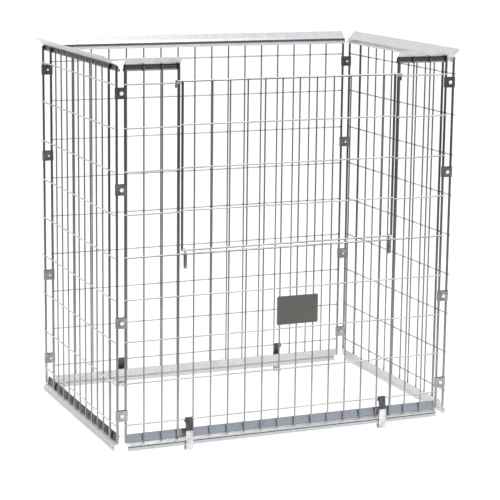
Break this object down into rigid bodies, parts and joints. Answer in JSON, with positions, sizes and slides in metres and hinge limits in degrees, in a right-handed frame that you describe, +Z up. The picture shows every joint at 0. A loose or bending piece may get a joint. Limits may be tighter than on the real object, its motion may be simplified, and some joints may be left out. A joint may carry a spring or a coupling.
{
  "type": "wire mesh pallet collar",
  "caption": "Galvanised wire mesh collar that stands on a pallet, with steel base and top rails, folding corner clips, swinging hold-down clamps and a lift-and-drop front gate.",
  "frame": {"origin": "middle of the footprint, at the underside of the hold-down clamps", "axes": "+X along the long side, the front with the gate faces -Y, +Z up"},
  "size_m": [1.2312, 0.8312, 1.2835],
  "materials": {
    "galvanised_wire": "bright galvanised drawn wire",
    "galvanised_sheet": "galvanised folded sheet",
    "zinc_strip": "zinc plated strip",
    "zinc_bolt": "bright zinc plated",
    "bare_plate": "dark satin bare plate"
  },
  "bodies": {
    "back_panel": {"back_mesh": "galvanised_wire", "back_base_rail": "galvanised_sheet", "back_top_rail": "galvanised_sheet", "clip_back_right_1": "zinc_strip", "clip_back_right_2": "zinc_strip", "clip_back_right_3": "zinc_strip", "clip_back_right_4": "zinc_strip", "bolt_back_right_1": "zinc_bolt", "bolt_back_right_2": "zinc_bolt", "bolt_back_right_3": "zinc_bolt", "bolt_back_right_4": "zinc_bolt"},
    "left_panel": {"left_mesh": "galvanised_wire", "left_base_rail": "galvanised_sheet", "left_top_rail": "galvanised_sheet", "clip_back_left_1": "zinc_strip", "clip_back_left_2": "zinc_strip", "clip_back_left_3": "zinc_strip", "clip_back_left_4": "zinc_strip", "bolt_back_left_1": "zinc_bolt", "bolt_back_left_2": "zinc_bolt", "bolt_back_left_3": "zinc_bolt", "bolt_back_left_4": "zinc_bolt"},
    "front_panel": {"front_mesh": "galvanised_wire", "front_base_rail": "galvanised_sheet", "front_left_top_rail": "galvanised_sheet", "front_right_top_rail": "galvanised_sheet", "sign_plate": "bare_plate", "clip_front_left_1": "zinc_strip", "clip_front_left_2": "zinc_strip", "clip_front_left_3": "zinc_strip", "clip_front_left_4": "zinc_strip", "bolt_front_left_1": "zinc_bolt", "bolt_front_left_2": "zinc_bolt", "bolt_front_left_3": "zinc_bolt", "bolt_front_left_4": "zinc_bolt"},
    "right_panel": {"right_mesh": "galvanised_wire", "right_base_rail": "galvanised_sheet", "right_top_rail": "galvanised_sheet", "clip_front_right_1": "zinc_strip", "clip_front_right_2": "zinc_strip", "clip_front_right_3": "zinc_strip", "clip_front_right_4": "zinc_strip", "bolt_front_right_1": "zinc_bolt", "bolt_front_right_2": "zinc_bolt", "bolt_front_right_3": "zinc_bolt", "bolt_front_right_4": "zinc_bolt"},
    "gate_loops": {"gate_loop_left": "galvanised_sheet", "gate_loop_right": "galvanised_sheet"},
    "gate": {"gate_mesh": "galvanised_wire"},
    "front_left_hold_down": {"front_left_clamp": "zinc_strip"},
    "front_right_hold_down": {"front_right_clamp": "zinc_strip"},
    "back_left_hold_down": {"back_left_clamp": "zinc_strip"},
    "back_right_hold_down": {"back_right_clamp": "zinc_strip"}
  },
  "joints": [
    {"name": "left_fold", "type": "hinge", "parent": "back_panel", "child": "left_panel", "pos_m": [-0.566, 0.394, 0.6], "axis": [0, 0, 1], "range_deg": [0, 90]},
    {"name": "front_fold", "type": "hinge", "parent": "left_panel", "child": "front_panel", "pos_m": [-0.594, -0.394, 0.6], "axis": [0, 0, 1], "range_deg": [-90, 0]},
    {"name": "right_fold", "type": "hinge", "parent": "back_panel", "child": "right_panel", "pos_m": [0.594, 0.394, 0.6], "axis": [0, 0, 1], "range_deg": [0, 90]},
    {"name": "gate_lift", "type": "slide", "parent": "front_panel", "child": "gate_loops", "axis": [0, 0, 1], "range_m": [0, 0.035]},
    {"name": "gate_swing", "type": "hinge", "parent": "gate_loops", "child": "gate", "pos_m": [0, -0.4013, 0.665], "axis": [1, 0, 0], "range_deg": [0, 170]},
    {"name": "front_left_clamp_swing", "type": "hinge", "parent": "front_panel", "child": "front_left_hold_down", "pos_m": [-0.352, -0.4001, 0.104], "axis": [-1, 0, 0], "range_deg": [0, 50]},
    {"name": "front_right_clamp_swing", "type": "hinge", "parent": "front_panel", "child": "front_right_hold_down", "pos_m": [0.352, -0.4001, 0.104], "axis": [-1, 0, 0], "range_deg": [0, 50]},
    {"name": "back_left_clamp_swing", "type": "hinge", "parent": "back_panel", "child": "back_left_hold_down", "pos_m": [-0.3046, 0.4001, 0.104], "axis": [1, 0, 0], "range_deg": [0, 50]},
    {"name": "back_right_clamp_swing", "type": "hinge", "parent": "back_panel", "child": "back_right_hold_down", "pos_m": [0.3186, 0.4001, 0.104], "axis": [1, 0, 0], "range_deg": [0, 50]}
  ],
  "couplings": [
    {"joint": "front_fold", "follows": "left_fold", "ratio": -1},
    {"joint": "right_fold", "follows": "left_fold", "ratio": 1}
  ]
}
